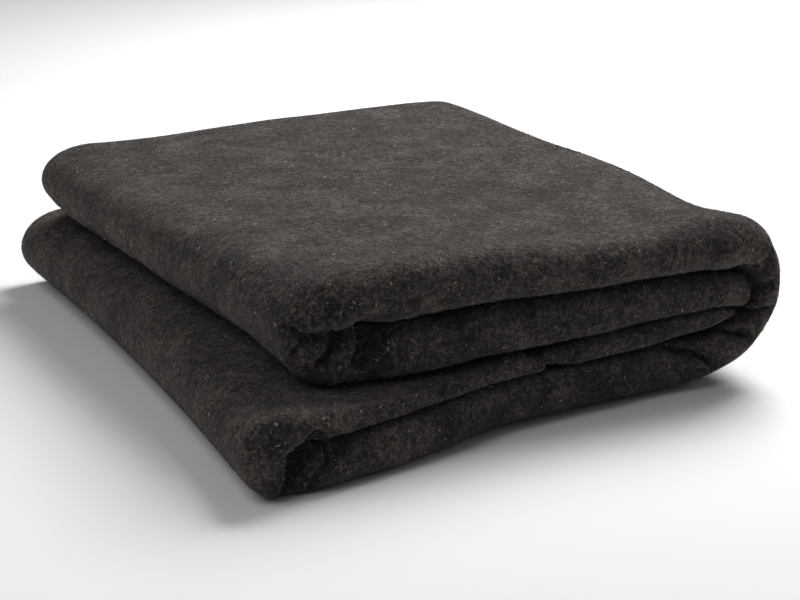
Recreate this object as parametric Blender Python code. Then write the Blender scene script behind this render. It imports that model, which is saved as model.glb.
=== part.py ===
"""Moving blanket of thick grey wool felt, folded flat.

One cut length of cloth, about 1.5 m by 1.75 m, with plain cut edges. It is folded in half twice
along its length, which makes a strip of four plies with a round fold along the front and the cut
edges at the back. The strip is then folded across three times: an outer band lies on the ground,
turns up at the right end (the spine) and comes back over the top, and at the left each end of it
turns inward. The stack is four bands high. Lengths are in millimetres up to the last step.

X runs along the front from the turned ends (left) to the spine (right), Y runs back, Z up.
"""
import bpy
import bmesh
import numpy as np

# Cloth
PLY = 5.0                 # thickness of the felt where nothing presses it
DEPTH = 432.0             # strip's width, from the front fold to the cut edges
GAP = 1.8                 # clear space between two bands that lie on each other
PRESSED = 0.38            # felt's thickness as a share of half its band where it is pressed
AT_FOLD = 0.72            # felt's thickness in a sharp fold, as a share of its own
BACK_FOLD = 3.4           # length of the single fold at the back

# Fold positions
TOP_LEFT = (0.0, -2.5, -4.0)      # left end of the upper slab: at the front, at the back, bow between
LOW_LEFT = (-48.5, -15.0, 8.0)    # the same for the lower slab
SPINE = (367.0, 375.0, 0.0)       # outer face of the spine
SPINE_LOW = 66.0                  # height at which the spine is widest
SPINE_REACH = (112.0, 46.0)       # length of the spine's curve below and above that height
TURN_LONG = (1.08, 1.65)          # left turns' length over their height, at the front and the back
FLAP_END = 172.0                  # end of the lower flap's bottom ply, at the front
FLAP_TOP_END = 150.0              # the same on its top ply
CUT_END = (290.0, 262.0)          # ends of those two plies at the back, where the cut runs aslant
INNER_END = 338.0                 # end of the upper flap
PAIR_END = 313.0                  # end of the lower flap's two inner plies

# Heights of the lines between the bands, seen at the front edge:
# x, underside, top of the bottom band, of the lower flap, of the upper flap, of the top band
FRONT = (
    (-60, 0.0, 29.0, 57.0, 84.0, 112.8),
    (0, 0.0, 29.0, 50.5, 77.0, 113.0),
    (25, 0.0, 29.5, 46.5, 75.0, 115.0),
    (50, 0.0, 30.5, 43.5, 77.5, 117.0),
    (80, 0.5, 31.5, 42.5, 78.0, 118.0),
    (110, 2.0, 32.0, 43.5, 79.5, 118.0),
    (145, 4.0, 33.5, 46.5, 81.0, 117.0),
    (180, 4.0, 34.0, 48.0, 79.5, 113.0),
    (215, 4.0, 33.5, 48.0, 79.5, 109.5),
    (255, 3.0, 34.0, 48.5, 80.5, 110.5),
    (295, 3.0, 37.5, 50.0, 80.0, 114.0),
    (320, 3.0, 43.5, 52.0, 79.0, 117.0),
    (345, 3.0, 50.0, 56.0, 79.0, 119.0),
)
# The same lines 10 cm and more behind the front edge
INSIDE = (
    (-60, 0.0, 28.2, 56.4, 84.6, 112.8),
    (150, 0.0, 28.2, 56.4, 84.6, 112.8),
    (235, 0.0, 29.5, 53.5, 83.0, 112.8),
    (290, 0.0, 34.5, 52.0, 82.0, 113.5),
    (320, 0.0, 43.0, 54.0, 82.0, 114.0),
    (345, 0.0, 49.0, 57.0, 82.0, 114.0),
)
# Front edge's place (y) along each band: x, bottom band, lower flap, upper flap, top band, and
# how far the lower slab's fold at the back stands out past the strip's own width
EDGE = (
    (-60, -42.0, -40.0, 2.0, 2.0, 72.0),
    (0, -38.0, -36.0, 4.0, 1.0, 60.0),
    (50, -30.0, -24.0, 4.0, 0.0, 42.0),
    (100, -18.0, -11.0, 3.0, 0.0, 28.0),
    (150, -6.0, -2.0, 3.0, 0.0, 16.0),
    (200, 0.0, 3.0, 4.0, 2.0, 9.0),
    (250, 4.0, 5.0, 4.0, 1.0, 6.0),
    (300, 6.0, 6.0, 4.0, 0.0, 5.0),
    (350, 8.0, 7.0, 4.0, -1.0, 4.0),
)
EDGE_OF = (1, 2, 3, 4)     # column of each band in that table, bottom band first
ROUND = (1.0, 1.0, 1.1, 1.4)   # how long each band is rounded at the front, bottom band first
SHARES = (0.0, 0.03, 0.08, 0.17, 0.36, 0.62, 0.85, 1.0)   # places of points from front to back


def curve(table, column, x):
    """A smooth line through one column of a table, read at x."""
    rows = np.array(table, dtype=float)
    xs = rows[:, 0]
    ys = rows[:, column]
    slope = np.gradient(ys, xs)
    x = np.clip(x, xs[0], xs[-1])
    k = np.clip(np.searchsorted(xs, x) - 1, 0, len(xs) - 2)
    h = xs[k + 1] - xs[k]
    t = (x - xs[k]) / h
    a = (1 + 2 * t) * (1 - t) ** 2 * ys[k] + t * (1 - t) ** 2 * h * slope[k]
    b = t * t * (3 - 2 * t) * ys[k + 1] - t * t * (1 - t) * h * slope[k + 1]
    return a + b


def ease(t):
    """A soft step from 0 to 1."""
    t = np.clip(t, 0.0, 1.0)
    return t * t * (3 - 2 * t)


def along(ends, w):
    """A fold line's place at depth w: front value, back value and bow between them."""
    share = np.clip(w / DEPTH, 0, 1)
    return ends[0] + (ends[1] - ends[0]) * share + ends[2] * 4 * share * (1 - share)


def height(line, x, y):
    """Height of one line between the bands at x and y."""
    inner = 1 - np.exp(-(np.maximum(y, 0.0) / 48.0) ** 2)
    return curve(FRONT, line + 1, x) * (1 - inner) + curve(INSIDE, line + 1, x) * inner


def band(k, x, y):
    """Middle height, the outer plies' distance from it and the felt's thickness in band k."""
    low = height(k, x, y) + (GAP / 2 if k else 0.0)
    high = height(k + 1, x, y) - (GAP / 2 if k < 3 else 0.0)
    half = (high - low) / 2
    felt = np.minimum(PLY, PRESSED * half)
    return (low + high) / 2, half - felt / 2, felt


def section():
    """The four plies seen from the end, from one cut edge to the other.

    Each point has its ply's distance share (1 outer, 1/3 inner, minus below), its depth share,
    and for the points of a fold the angle round it. Kinds: 0 outer plies, 1 front fold of the
    outer plies, 2 fold at the back, 3 inner plies, 4 front fold of the inner plies.
    """
    rows = [(0, -1.0, t, 0.0) for t in SHARES[::-1]]
    rows += [(1, np.sin(a), 0.0, a) for a in np.radians((-60, -30, 0, 30, 60))]
    rows += [(0, 1.0, t, 0.0) for t in SHARES]
    rows += [(2, 2 / 3 + np.cos(a) / 3, 1.0, a) for a in np.radians((45, 90, 135))]
    rows += [(3, 1 / 3, t, 0.0) for t in SHARES[::-1]]
    rows += [(4, np.cos(a) / 3, 0.0, a) for a in np.radians((45, 90, 135))]
    rows += [(3, -1 / 3, t, 0.0) for t in SHARES]
    return np.array(rows)


SECTION = section()
KIND = SECTION[:, 0].astype(int)
SIDE = SECTION[:, 1]
SHARE = SECTION[:, 2]
ANGLE = SECTION[:, 3]


def depth(reach, felt, out=0.0, roundness=1.0):
    """Depth of each point behind the front edge.

    The outer plies are `reach` from the middle. Where the fold at the back stands `out` past the
    strip's width, the cut edges stand in by as much, so the cloth keeps its width.
    """
    cut = (SIDE < -0.3) & ((KIND == 0) | (KIND == 3))
    back = DEPTH + np.where(cut, -3.0 - 4.0 * (KIND == 3), 0.0) + np.where(cut, -1.0, 1.0) * out
    outer = felt / 2 + 0.85 * roundness * reach
    inner = felt / 2 + (0.75 + 0.35 * roundness) * reach
    w = np.where(KIND == 0, outer + (back - outer) * SHARE, 0.0)
    w = np.where(KIND == 1, outer - 0.85 * roundness * reach * np.cos(ANGLE), w)
    w = np.where(KIND == 2, back + BACK_FOLD * np.sin(ANGLE), w)
    w = np.where(KIND == 3, inner + (back - inner) * SHARE, w)
    w = np.where(KIND == 4, inner - 0.35 * reach * np.sin(ANGLE), w)
    return w


PLAIN = depth(11.0, PLY)
PLAIN_LOW = depth(11.0, PLY, EDGE[1][5])


def seat(k, x):
    """How band k lies at x: each point's y, the band's middle, the outer plies' reach, the felt."""
    front = curve(EDGE, EDGE_OF[k], x)
    mid, reach, felt = band(k, x, front)
    out = curve(EDGE, 5, x) if k < 2 else 0.0
    y = front + depth(reach, felt, out, ROUND[k])
    mid, reach, felt = band(k, x, y)
    return y, mid, reach, felt


def flat_run(k, up, start, end, steps):
    """One band from x `start` to x `end`: places of the felt's middle surface and its thickness."""
    t = np.asarray(steps, dtype=float)[:, None]
    x = start[None, :] + (end - start)[None, :] * t
    y, mid, reach, felt = seat(k, x)
    side = np.broadcast_to(SIDE, x.shape).copy()
    if k == 1:
        pair = np.isin(KIND, (3, 4))
        above = ease((x - upper_end(PLAIN) - 6.0) / 30.0)
        below = ease((x - lower_end(PLAIN) - 18.0) / 30.0)
        free = np.where(side > 0, above, below)
        side = np.where(pair, side * (1 + 2 * free), side)
    return x, y, mid + up * side * reach, felt


def upper_end(w):
    """End of the lower flap's top ply, which runs aslant from front to back."""
    return FLAP_TOP_END + (CUT_END[1] - FLAP_TOP_END) * np.clip(w / DEPTH, 0, 1)


def lower_end(w):
    """End of the lower flap's bottom ply, which runs aslant too."""
    return FLAP_END + (CUT_END[0] - FLAP_END) * np.clip(w / DEPTH, 0, 1)


def turn_ends(left, k):
    """Left turn over band k: each ply's tip, half height, length and middle, and both y."""
    w = PLAIN_LOW if k == 0 else PLAIN
    outer = along(left, w)
    share = np.clip(w / DEPTH, 0, 1)
    bulge = TURN_LONG[0] + (TURN_LONG[1] - TURN_LONG[0]) * share
    start = outer + 30.0
    for _ in range(4):
        y_low, low, reach_low, felt_low = seat(k, start)
        y_high, high, reach_high, felt_high = seat(k + 1, start)
        z_low = low - SIDE * reach_low
        z_high = high + SIDE * reach_high
        half = (z_high - z_low) / 2
        length = half * (1 + (bulge - 1) * ((SIDE + 1) / 2) ** 2)
        tip = outer + felt_low / 2 + (1 - SIDE) * (reach_low + reach_high) / 2 * (0.75 + 0.25 * bulge)
        start = tip + length
    return tip, half, length, (z_low + z_high) / 2, (y_low, y_high), (felt_low, felt_high)


def left_turn(left, k, angles):
    """The strip's turn at the left end of a slab, through the given angles (90 is the upper side)."""
    tip, half, length, middle, y, felt = turn_ends(left, k)
    a = np.radians(np.asarray(angles, dtype=float))[:, None]
    x = tip + length - length * np.cos(a)
    z = middle + half * np.sin(a)
    share = (1 - np.sin(a)) / 2
    y = y[1] * (1 - share) + y[0] * share
    felt = felt[1] * (1 - share) + felt[0] * share
    return x, y, z, felt * (1 - 0.12 * (1 - SIDE) * np.cos(a))


def spine(angles):
    """The outer band's turn at the right, from the bottom band up to the top band."""
    w = PLAIN
    a = np.radians(np.asarray(angles, dtype=float))[:, None]
    right = along(SPINE, w)
    thick = 19.0 + 5.0 * ease(w / 90.0)
    y_low, low, reach_low, felt_low = seat(0, right - SPINE_REACH[0])
    y_high, high, reach_high, felt_high = seat(3, right - SPINE_REACH[1])
    lower = a < 0
    c = np.cos(a)
    s = np.sin(a)
    half = np.where(lower, reach_low + felt_low / 2, reach_high + felt_high / 2)
    half = half + (thick / 2 - half) * c ** 2
    felt = np.minimum(PLY, PRESSED * half)
    reach = half - felt / 2
    inward = (1 - SIDE) * reach + felt / 2
    floor = low - reach_low - felt_low / 2
    top = high + reach_high + felt_high / 2
    rise = np.where(lower, SPINE_LOW - floor, top - SPINE_LOW)
    run = np.where(lower, SPINE_REACH[0], SPINE_REACH[1])
    x = right - run + (run - inward) * np.where(lower, c, c ** 0.85)
    z = SPINE_LOW + (rise - inward) * s
    share = ease((1 + s) / 2)
    return x, y_low * (1 - share) + y_high * share, z, np.broadcast_to(felt, x.shape)


def strip():
    """The whole strip: middle surface (points by place along the strip and in the section)."""
    w = PLAIN
    low_tip, _, low_length, _, _, _ = turn_ends(LOW_LEFT, 0)
    top_tip, _, top_length, _, _, _ = turn_ends(TOP_LEFT, 2)
    low_start = low_tip + low_length
    top_start = top_tip + top_length
    lower_half = ease((SIDE + 1) / 2)
    flap_end = lower_end(w) + (upper_end(w) - lower_end(w)) * lower_half
    b_end = CUT_END[1] + (PAIR_END - CUT_END[1]) * (1 - np.clip(w / DEPTH, 0, 1))
    flap_end = np.where(KIND == 2, CUT_END[1], flap_end)
    flap_end = np.where((KIND == 3) & (SIDE > 0), b_end, flap_end)
    flap_end = np.where((KIND == 4) | ((KIND == 3) & (SIDE < 0)), PAIR_END, flap_end)
    inner_end = INNER_END - 4.0 * ease(w / 90.0) - 1.5 * np.abs(SIDE)
    right = along(SPINE, w)
    turn = (90, 68, 48, 30, 10, -10, -30, -48, -68)
    parts = [
        flat_run(1, 1, flap_end, low_start, (0, 0.13, 0.24, 0.32, 0.38, 0.43, 0.49, 0.6, 0.73, 0.87)),
        left_turn(LOW_LEFT, 0, turn),
        flat_run(0, -1, low_start, right - SPINE_REACH[0], np.linspace(0, 1, 8)[:-1]),
        spine((-90, -76, -63, -51, -40, -29, -18, -6, 8, 22, 38, 54, 72)),
        flat_run(3, 1, right - SPINE_REACH[1], top_start, np.linspace(0, 1, 10)[:-1]),
        left_turn(TOP_LEFT, 2, turn),
        flat_run(2, -1, top_start, inner_end, np.linspace(0, 1, 9)),
    ]
    x, y, z, felt = (np.concatenate([p[n] for p in parts]) for n in range(4))
    sharp = np.isin(KIND, (2, 4)).astype(float)
    sharp = np.maximum(sharp, 0.5 * np.maximum(np.roll(sharp, 1), np.roll(sharp, -1)))
    return np.stack((x, y, z), axis=-1), felt * (1 - (1 - AT_FOLD) * sharp)


def thicken(middle, felt):
    """Both faces of the felt, half its thickness to each side of its middle surface."""
    along_s = np.gradient(middle, axis=0)
    along_w = np.gradient(middle, axis=1)
    normal = np.cross(along_s, along_w)
    normal /= np.linalg.norm(normal, axis=-1, keepdims=True)
    off = normal * felt[..., None] / 2
    return middle + off, middle - off


def build():
    """The blanket as one closed felt sheet."""
    middle, felt = strip()
    face_a, face_b = thicken(middle, felt)
    points = np.concatenate((face_a.reshape(-1, 3), face_b.reshape(-1, 3)))
    points[:, 2] = np.maximum(points[:, 2], 0.0)
    low = points.min(axis=0)
    high = points.max(axis=0)
    points -= ((low[0] + high[0]) / 2, (low[1] + high[1]) / 2, low[2])
    rows, cols = middle.shape[:2]
    mesh = bpy.data.meshes.new("blanket")
    bm = bmesh.new()
    verts = [bm.verts.new(p * 0.001) for p in points]
    grid_a = np.arange(rows * cols).reshape(rows, cols)
    grid_b = grid_a + rows * cols
    for i in range(rows - 1):
        for j in range(cols - 1):
            quad = (grid_a[i, j], grid_a[i + 1, j], grid_a[i + 1, j + 1], grid_a[i, j + 1])
            bm.faces.new([verts[k] for k in quad])
            quad = (grid_b[i, j], grid_b[i, j + 1], grid_b[i + 1, j + 1], grid_b[i + 1, j])
            bm.faces.new([verts[k] for k in quad])
    rim = [(i, 0) for i in range(rows)] + [(rows - 1, j) for j in range(1, cols)]
    rim += [(i, cols - 1) for i in range(rows - 2, -1, -1)] + [(0, j) for j in range(cols - 2, 0, -1)]
    for n, here in enumerate(rim):
        there = rim[(n + 1) % len(rim)]
        bm.faces.new([verts[k] for k in (grid_a[here], grid_b[here], grid_b[there], grid_a[there])])
    bmesh.ops.recalc_face_normals(bm, faces=bm.faces)
    bm.to_mesh(mesh)
    bm.free()
    mesh.shade_smooth()
    mesh.set_sharp_from_angle(angle=np.radians(50))
    return bpy.data.objects.new("blanket", mesh)


def felt_material():
    """Dark warm grey wool felt."""
    material = bpy.data.materials.new("charcoal felt")
    material.use_nodes = True
    shader = material.node_tree.nodes["Principled BSDF"]
    shader.inputs["Base Color"].default_value = (0.085, 0.078, 0.074, 1.0)
    shader.inputs["Roughness"].default_value = 0.95
    shader.inputs["Metallic"].default_value = 0.0
    return material


def main():
    """Clear the scene and make the blanket."""
    for old in list(bpy.data.objects):
        bpy.data.objects.remove(old, do_unlink=True)
    blanket = build()
    blanket.data.materials.append(felt_material())
    bpy.context.scene.collection.objects.link(blanket)


main()
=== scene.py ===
# %% [markdown]
# This lesson dresses one object: a moving blanket of thick grey wool felt, folded flat.
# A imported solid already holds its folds, its size and its weight. What it lacks is the look: a
# finer surface with the small creases of cloth folded by hand, the mottled colour of reclaimed
# wool, a nap of short hairs, and a studio to see it in.
# Lengths in the fold plan are in millimetres, as a folder would measure them. They become metres
# when a mesh is made.

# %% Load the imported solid
import math

import bpy
import numpy as np
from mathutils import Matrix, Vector


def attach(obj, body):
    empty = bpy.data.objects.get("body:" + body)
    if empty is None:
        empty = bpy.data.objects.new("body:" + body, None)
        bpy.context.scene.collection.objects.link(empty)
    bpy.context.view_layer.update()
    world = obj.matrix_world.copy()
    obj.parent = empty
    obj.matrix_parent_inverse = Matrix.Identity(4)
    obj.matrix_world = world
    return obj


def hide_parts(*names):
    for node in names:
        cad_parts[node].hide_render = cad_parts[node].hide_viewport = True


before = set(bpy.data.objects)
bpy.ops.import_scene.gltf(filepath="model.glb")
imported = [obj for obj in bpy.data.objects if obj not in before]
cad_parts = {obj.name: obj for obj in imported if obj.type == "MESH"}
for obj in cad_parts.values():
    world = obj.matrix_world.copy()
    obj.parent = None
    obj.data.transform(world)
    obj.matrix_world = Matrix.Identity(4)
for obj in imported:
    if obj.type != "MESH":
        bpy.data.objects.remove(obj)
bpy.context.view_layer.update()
MM = 0.001

# %% [markdown]
# Everything is seen through the camera, so it comes before any surface. It stands in front of
# the stack's left corner, a step back and a little above, and looks down at it. A long lens keeps
# the far edges of the folds nearly parallel. The fold plan starts at the upper slab's left front
# corner, and the solid's origin is under the middle of the stack, so one small function takes a
# point of the plan to the part.

# %% Place the camera
PLAN_CENTRE = np.array((164.09, 209.09, 0.0))          # the solid's origin, in the plan
CAMERA_AT = np.array((-491.7, -1057.65, 469.06))       # the camera, in the plan
CAMERA_TURN = math.radians(28.12)                      # to the right of straight back
CAMERA_DIP = math.radians(17.21)                       # below level
LENS = 94.5                                            # focal length, in millimetres
SENSOR = 36.0                                          # width of the sensor it is meant for


def to_part(plan):
    """A point of the fold plan, in metres from the part's origin."""
    return (np.asarray(plan, dtype=float) - PLAN_CENTRE) * MM


def make_camera():
    """A camera that looks along the turn to the right and the dip below level."""
    data = bpy.data.cameras.new("camera")
    data.lens = LENS
    data.sensor_width = SENSOR
    camera = bpy.data.objects.new("camera", data)
    level = math.cos(CAMERA_DIP)
    ahead = Vector((math.sin(CAMERA_TURN) * level, math.cos(CAMERA_TURN) * level, -math.sin(CAMERA_DIP)))
    camera.location = to_part(CAMERA_AT)
    camera.rotation_mode = "QUATERNION"
    camera.rotation_quaternion = ahead.to_track_quat("-Z", "Y")
    bpy.context.scene.collection.objects.link(camera)
    bpy.context.scene.camera = camera
    return camera


camera = make_camera()
print("camera at", [round(v, 3) for v in camera.location])

# %% [markdown]
# The blanket is one cut of felt. Folded in half twice along its length, it is a strip of four
# plies: a round fold runs along the front, and the cut edges lie at the back. The strip is then
# folded across three times, so the stack is four bands high. From the ground up they are the
# bottom band, the lower flap, the upper flap and the top band. The bottom band turns up at the
# right end, the spine, and comes back as the top band. At the left, both turn inward.
# A cloth simulation could fold a flat sheet like this, but it would take long, and it would not
# stop where these folds do. Here the strip is worked out instead: four lines between the bands
# give each band's height, and the strip is carried along its path through them.

# %% Sizes of the cloth and its folds
PLY = 5.0                         # thickness of the felt where nothing presses it
DEPTH = 432.0                     # strip's width, from the front fold to the cut edges
GAP = 1.8                         # clear space between two bands that lie on each other
PRESSED = 0.38                    # felt's thickness as a share of half its band where it is pressed
AT_FOLD = 0.72                    # felt's thickness in a sharp fold, as a share of its own
FOLD_AT_BACK = 3.4                # length of the single fold at the back
SPINE_LOW = 66.0                  # height at which the spine is widest
SPINE_REACH = (112.0, 46.0)       # length of the spine's curve below and above that height
SPINE_ROUND = (0.59, 0.67)        # how full that curve is below and above, where 1 is an ellipse
TURN_LONG = (1.08, 1.65)          # left turns' length over their height, at the front and the back
INNER_END = 338.0                 # end of the upper flap
# Lines across the strip: x at the front, x at the back, and how far the line bows out between them
TOP_LEFT = (0.0, -2.5, -4.0)      # left end of the upper slab
LOW_LEFT = (-48.0, -16.3, 5.2)    # left end of the lower slab
SPINE = (367.0, 375.0, 0.0)       # outer face of the spine
LOWER_END = (172.0, 290.0, 0.0)   # end of the lower flap's bottom ply, cut aslant
UPPER_END = (163.0, 262.0, 0.0)   # end of its top ply
PAIR_END = (331.0, 262.0, 0.0)    # end of the upper one of its two inner plies
print("strip of four plies,", DEPTH, "mm wide")

# %% Heights of the lines between the bands
# Columns: x, the underside, and the tops of the bottom band, lower flap, upper flap and top band
FRONT = (
    (-60, 0.0, 29.0, 57.0, 84.0, 112.8),
    (0, 0.0, 29.0, 50.5, 77.0, 113.0),
    (25, 0.0, 29.5, 46.5, 75.0, 115.0),
    (50, 0.0, 30.5, 43.5, 77.5, 117.0),
    (80, 0.5, 31.5, 42.5, 78.0, 118.0),
    (110, 2.0, 32.0, 43.5, 79.5, 118.0),
    (145, 4.0, 33.5, 46.0, 81.0, 117.0),
    (180, 4.0, 33.5, 47.0, 79.5, 113.0),
    (215, 4.0, 33.0, 49.0, 79.5, 109.5),
    (255, 3.0, 33.5, 51.0, 80.8, 110.5),
    (285, 3.0, 36.0, 51.8, 79.8, 113.0),
    (305, 3.0, 38.0, 53.5, 78.6, 115.5),
    (318, 3.0, 40.5, 54.5, 77.4, 115.2),
    (331, 3.0, 46.5, 51.5, 76.4, 115.6),
    (345, 3.0, 49.0, 51.5, 76.0, 116.6),
)
# The same lines 10 cm and more behind the front edge
INSIDE = (
    (-60, 0.0, 28.2, 56.4, 84.6, 112.8),
    (150, 0.0, 28.2, 56.4, 84.6, 112.8),
    (235, 0.0, 29.5, 53.5, 83.0, 112.8),
    (290, 0.0, 34.5, 52.0, 82.0, 113.5),
    (320, 0.0, 43.0, 54.0, 82.0, 114.0),
    (345, 0.0, 49.0, 57.0, 82.0, 114.0),
)
# Front edge's place (y) along each band, and how far the lower slab's fold at the back stands out
# Columns: x, bottom band, lower flap, upper flap, top band, fold at the back
EDGE = (
    (-60, -42.0, -40.0, 2.0, 2.0, 72.0),
    (0, -38.0, -36.0, 4.0, 1.0, 60.0),
    (50, -30.0, -24.0, 4.0, 0.0, 42.0),
    (100, -18.0, -11.0, 3.0, 0.0, 28.0),
    (150, -6.0, -2.0, 3.0, 0.0, 16.0),
    (200, 0.0, 3.0, 4.0, 2.0, 9.0),
    (250, 4.0, 5.0, 4.0, 1.0, 6.0),
    (300, 6.0, 6.0, 4.0, 0.0, 5.0),
    (350, 8.0, 7.0, 4.0, -1.0, 4.0),
)
BACK_OUT = 5                    # the column of the fold at the back
FADE_IN = 48.0                  # depth over which the front's lines fade into the inside's
# For each band, bottom band first
EDGE_OF = (1, 2, 3, 4)          # its column in that table
ROUND = (1.0, 0.75, 0.95, 1.4)  # how long it is rounded at the front
UP = (-1, 1, -1, 1)             # which way the strip's outer ply faces, 1 is up
SAG = (0.0, 1.0, 1.6, 1.8)      # how far its lower edge hangs out over the band below
SAG_DEEP = 30                   # how far behind the front edge that dies away


def curve(table, column, x):
    """A smooth line through one column of a table, read at x: a cubic between each two rows whose
    slopes there are those of the rows around them."""
    rows = np.array(table, dtype=float)
    xs = rows[:, 0]
    ys = rows[:, column]
    slope = np.gradient(ys, xs)
    x = np.clip(x, xs[0], xs[-1])
    k = np.clip(np.searchsorted(xs, x) - 1, 0, len(xs) - 2)
    h = xs[k + 1] - xs[k]
    t = (x - xs[k]) / h
    a = (1 + 2 * t) * (1 - t) ** 2 * ys[k] + t * (1 - t) ** 2 * h * slope[k]
    b = t * t * (3 - 2 * t) * ys[k + 1] - t * t * (1 - t) * h * slope[k + 1]
    return a + b


def ease(t):
    """A soft step from 0 to 1."""
    t = np.clip(t, 0.0, 1.0)
    return t * t * (3 - 2 * t)


def depth_share(w):
    """Share of the strip's width that lies in front of depth w."""
    return np.clip(w / DEPTH, 0, 1)


def along(ends, w):
    """A line across the strip, read at depth w: straight from front to back, plus a parabola."""
    share = depth_share(w)
    return ends[0] + (ends[1] - ends[0]) * share + ends[2] * 4 * share * (1 - share)


def height(line, x, y):
    """Height of one line between the bands: the front's, fading to the inside's behind it."""
    inner = 1 - np.exp(-(np.maximum(y, 0.0) / FADE_IN) ** 2)
    return curve(FRONT, line + 1, x) * (1 - inner) + curve(INSIDE, line + 1, x) * inner


def band(k, x, y):
    """Middle height, the outer plies' distance from it and the felt's thickness in band k."""
    low = height(k, x, y) + (GAP / 2 if k else 0.0)
    high = height(k + 1, x, y) - (GAP / 2 if k < 3 else 0.0)
    half = (high - low) / 2
    felt = np.minimum(PLY, PRESSED * half)
    return (low + high) / 2, half - felt / 2, felt


print("stack is", round(float(height(4, 100.0, 0.0)), 1), "mm high at the front")

# %% [markdown]
# Seen from its end, the strip is one line: bottom ply, round the front fold, top ply, round the
# single fold at the back, and inside it the two inner plies with their own fold at the front.
# Its points lie close together at the front, where the cloth is seen in the round, and further
# apart on the hidden plies.

# %% The strip's section
OUTER_PLY, FRONT_FOLD, BACK_FOLD, INNER_PLY, INNER_FOLD = range(5)      # kinds of points
# Points across a ply and the power that crowds them towards the front
SHOWN = (40, 1.5)          # on the outer ply that shows
HIDDEN = (15, 2.3)         # on the outer ply that lies against the next band
INNER = (9, 2.2)           # on an inner ply
# Points round a fold, by their angle in degrees
FRONT_ANGLES = np.linspace(-82, 82, 34)
BACK_ANGLES = (30, 60, 90, 120, 150)
INNER_ANGLES = (15, 35, 60, 90, 120, 145, 165)


def from_front(count, power):
    """Shares of the depth from 0 to 1, crowded towards the front by a power."""
    return np.linspace(0.0, 1.0, count) ** power


def section():
    """The four plies as one line of points: kind, side, depth share and fold angle of each.

    Side is 1 on the top ply, -1 on the bottom ply and a third of that on the inner ones. Round a
    fold it is the sine or the cosine of the angle.
    """
    rows = [(OUTER_PLY, -1.0, t, 0.0) for t in from_front(*HIDDEN)[::-1]]
    rows += [(FRONT_FOLD, np.sin(a), 0.0, a) for a in np.radians(FRONT_ANGLES)]
    rows += [(OUTER_PLY, 1.0, t, 0.0) for t in from_front(*SHOWN)]
    rows += [(BACK_FOLD, 2 / 3 + np.cos(a) / 3, 1.0, a) for a in np.radians(BACK_ANGLES)]
    rows += [(INNER_PLY, 1 / 3, t, 0.0) for t in from_front(*INNER)[::-1]]
    rows += [(INNER_FOLD, np.cos(a) / 3, 0.0, a) for a in np.radians(INNER_ANGLES)]
    rows += [(INNER_PLY, -1 / 3, t, 0.0) for t in from_front(*INNER)]
    return np.array(rows)


SECTION = section()
KIND = SECTION[:, 0].astype(int)
SIDE = SECTION[:, 1]
SHARE = SECTION[:, 2]
ANGLE = SECTION[:, 3]
print("points in the section:", len(SECTION))


# %% Depth of the section's points
FOLD_LONG = 0.85            # length of the front fold over the outer plies' reach
FULLNESS = 0.85             # power of its round, where 1 is an ellipse and less is fuller
INNER_START = (0.75, 0.35)  # start of the inner plies over that reach: always, and by roundness
INNER_LONG = 0.35           # length of their own fold over that reach
FREE_BEHIND = 3.0           # how far behind the outer fold that one stays where it is free
CUT_IN = (3.0, 7.0)         # how far the outer and the inner ply's cut edges stand in at the back
MEAN_REACH = 11.0           # how far the outer plies are from the middle of an average band


def depth(reach, felt, out=0.0, roundness=1.0, free=0.0):
    """Depth of each point behind the front edge.

    The outer plies are `reach` from the middle. Where the fold at the back stands `out` past the
    strip's width, the cut edges stand in by as much, so the cloth keeps its width. Where the inner
    plies are `free` of the outer ones, their fold is as round as the outer fold.
    """
    cut = (SIDE < 0) & ((KIND == OUTER_PLY) | (KIND == INNER_PLY))
    cut_in = np.where(KIND == INNER_PLY, CUT_IN[1], CUT_IN[0])
    back = DEPTH + np.where(cut, -cut_in, 0.0) + np.where(cut, -1.0, 1.0) * out
    outer = felt / 2 + FOLD_LONG * roundness * reach
    inner = felt / 2 + (INNER_START[0] + INNER_START[1] * roundness) * reach
    inner = inner + (outer + FREE_BEHIND - inner) * free
    bulge = INNER_LONG + (FOLD_LONG * roundness - INNER_LONG) * free
    w = np.where(KIND == OUTER_PLY, outer + (back - outer) * SHARE, 0.0)
    round_off = np.abs(np.cos(ANGLE)) ** FULLNESS
    w = np.where(KIND == FRONT_FOLD, outer - FOLD_LONG * roundness * reach * round_off, w)
    w = np.where(KIND == BACK_FOLD, back + FOLD_AT_BACK * np.sin(ANGLE), w)
    w = np.where(KIND == INNER_PLY, inner + (back - inner) * SHARE, w)
    return np.where(KIND == INNER_FOLD, inner - bulge * reach * np.abs(np.sin(ANGLE)) ** FULLNESS, w)


# Depths in an average band, and in the lower slab at its left end
PLAIN = depth(MEAN_REACH, PLY)
PLAIN_LOW = depth(MEAN_REACH, PLY, EDGE[1][BACK_OUT])


def seat(k, x, free=0.0):
    """How band k lies at x: each point's y, the band's middle, the outer plies' reach, the felt."""
    front = curve(EDGE, EDGE_OF[k], x)
    mid, reach, felt = band(k, x, front)
    out = curve(EDGE, BACK_OUT, x) if k < 2 else 0.0
    w = depth(reach, felt, out, ROUND[k], free)
    y = front + w + SAG[k] * UP[k] * SIDE * np.exp(-(w / SAG_DEEP) ** 2)
    mid, reach, felt = band(k, x, y)
    return y, mid, reach, felt


print("depth of a band:", round(float(PLAIN.max()), 1), "mm")

# %% [markdown]
# The strip's path has three kinds of stretch: a flat run along a band, a turn at the left end,
# and the spine at the right. Each returns the middle surface of the felt, a row of points for
# every station along the path. The lower flap's cut edges run aslant, so its first row starts
# further along at the back than at the front.


# %% Flat runs
# Where the outer ply ends, the inner one it held stands free: how far past that end it starts to,
# and over what length
FREE_ABOVE = (1.0, 22.0)
FREE_BELOW = (3.0, 26.0)
SWELL = 1.3                    # how much thicker the felt is where it is free


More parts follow.
